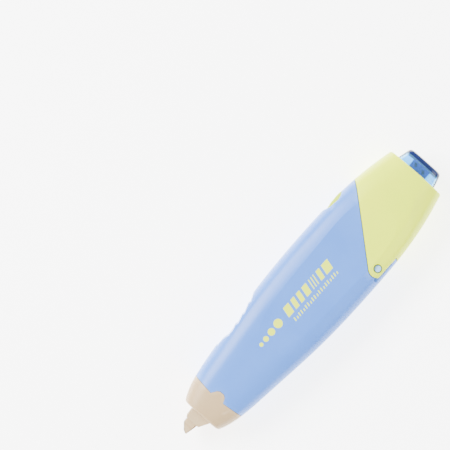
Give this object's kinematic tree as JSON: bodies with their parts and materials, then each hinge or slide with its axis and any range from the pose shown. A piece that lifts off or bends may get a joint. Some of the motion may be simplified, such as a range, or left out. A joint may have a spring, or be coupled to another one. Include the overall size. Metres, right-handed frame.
{
  "type": "correction tape roller",
  "caption": "Retractable push-knob correction tape roller: flattened pen-like casing, slanted hinged rear cover, side release button and a geared refill inside.",
  "frame": {"origin": "centre of the bounding box in plan, on the plane of the flat back face it lies on, with the tip out and the knob pressed in", "axes": "+X along the casing from the applicator tip towards the push knob, +Y towards the grip and release button side, +Z out of the front face"},
  "size_m": [0.1198, 0.03, 0.0175],
  "materials": {
    "casing": "pale blue moulded plastic",
    "lime": "yellow-green moulded plastic",
    "cream": "cream moulded plastic",
    "pin_blue": "light blue plastic pin",
    "steel": "spring steel",
    "knob_blue": "translucent blue plastic",
    "rod_blue": "blue plastic",
    "grey": "grey acetal",
    "tape_white": "white correction tape",
    "liner_orange": "orange-brown release liner",
    "gear_white": "white acetal"
  },
  "bodies": {
    "casing": {"front_shell": "casing", "back_shell": "casing", "nose_cap": "cream", "hinge_pin": "pin_blue", "lever_pin": "steel"},
    "cover": {"hinged_cover": "lime"},
    "knob": {"knob_cap": "knob_blue", "push_rod": "rod_blue"},
    "carriage": {"slider_frame": "grey", "refill_base": "cream", "refill_cover": "cream", "applicator_head": "cream", "supply_strip": "tape_white", "liner_strip": "liner_orange", "latch_finger": "grey", "return_spring": "steel"},
    "supply_drive": {"supply_gear": "gear_white", "clutch_ring": "grey"},
    "supply_reel": {"supply_core": "gear_white", "supply_tape": "tape_white"},
    "idler": {"idler_gear": "gear_white"},
    "take_up": {"take_up_reel": "gear_white", "take_up_roll": "liner_orange"},
    "latch": {"release_lever": "lime", "lever_spring": "steel"}
  },
  "joints": [
    {"name": "cover_hinge", "type": "hinge", "parent": "casing", "child": "cover", "pos_m": [0.0227, -0.0111, 0.00875], "axis": [0, 0, -1], "range_deg": [0, 110]},
    {"name": "carriage_slide", "type": "slide", "parent": "casing", "child": "carriage", "axis": [1, 0, 0], "range_m": [0, 0.0098], "deforming": ["return_spring", "latch_finger"]},
    {"name": "knob_slide", "type": "slide", "parent": "cover", "child": "knob", "axis": [1, 0, 0], "range_m": [0, 0.0098]},
    {"name": "release_lever_hinge", "type": "hinge", "parent": "casing", "child": "latch", "pos_m": [0.0251, 0.0119, 0.00875], "axis": [0, 0, -1], "range_deg": [0, 12], "stiffness_Nm_per_rad": 0.02, "springref_deg": -5.73, "deforming": ["lever_spring"]},
    {"name": "supply_gear_spin", "type": "hinge", "parent": "carriage", "child": "supply_drive", "pos_m": [0.0051, 0, 0.00875], "axis": [0, 0, 1], "continuous": true},
    {"name": "idler_spin", "type": "hinge", "parent": "carriage", "child": "idler", "pos_m": [-0.00915, 0, 0.00875], "axis": [0, 0, 1], "continuous": true},
    {"name": "take_up_spin", "type": "hinge", "parent": "carriage", "child": "take_up", "pos_m": [-0.0179, 0, 0.00875], "axis": [0, 0, 1], "continuous": true},
    {"name": "supply_core_slip", "type": "hinge", "parent": "supply_drive", "child": "supply_reel", "pos_m": [0.0051, 0, 0.00875], "axis": [0, 0, 1], "continuous": true}
  ],
  "couplings": [
    {"joint": "knob_slide", "follows": "carriage_slide", "ratio": 1},
    {"joint": "idler_spin", "follows": "supply_gear_spin", "ratio": -2},
    {"joint": "take_up_spin", "follows": "supply_gear_spin", "ratio": 2.375}
  ]
}
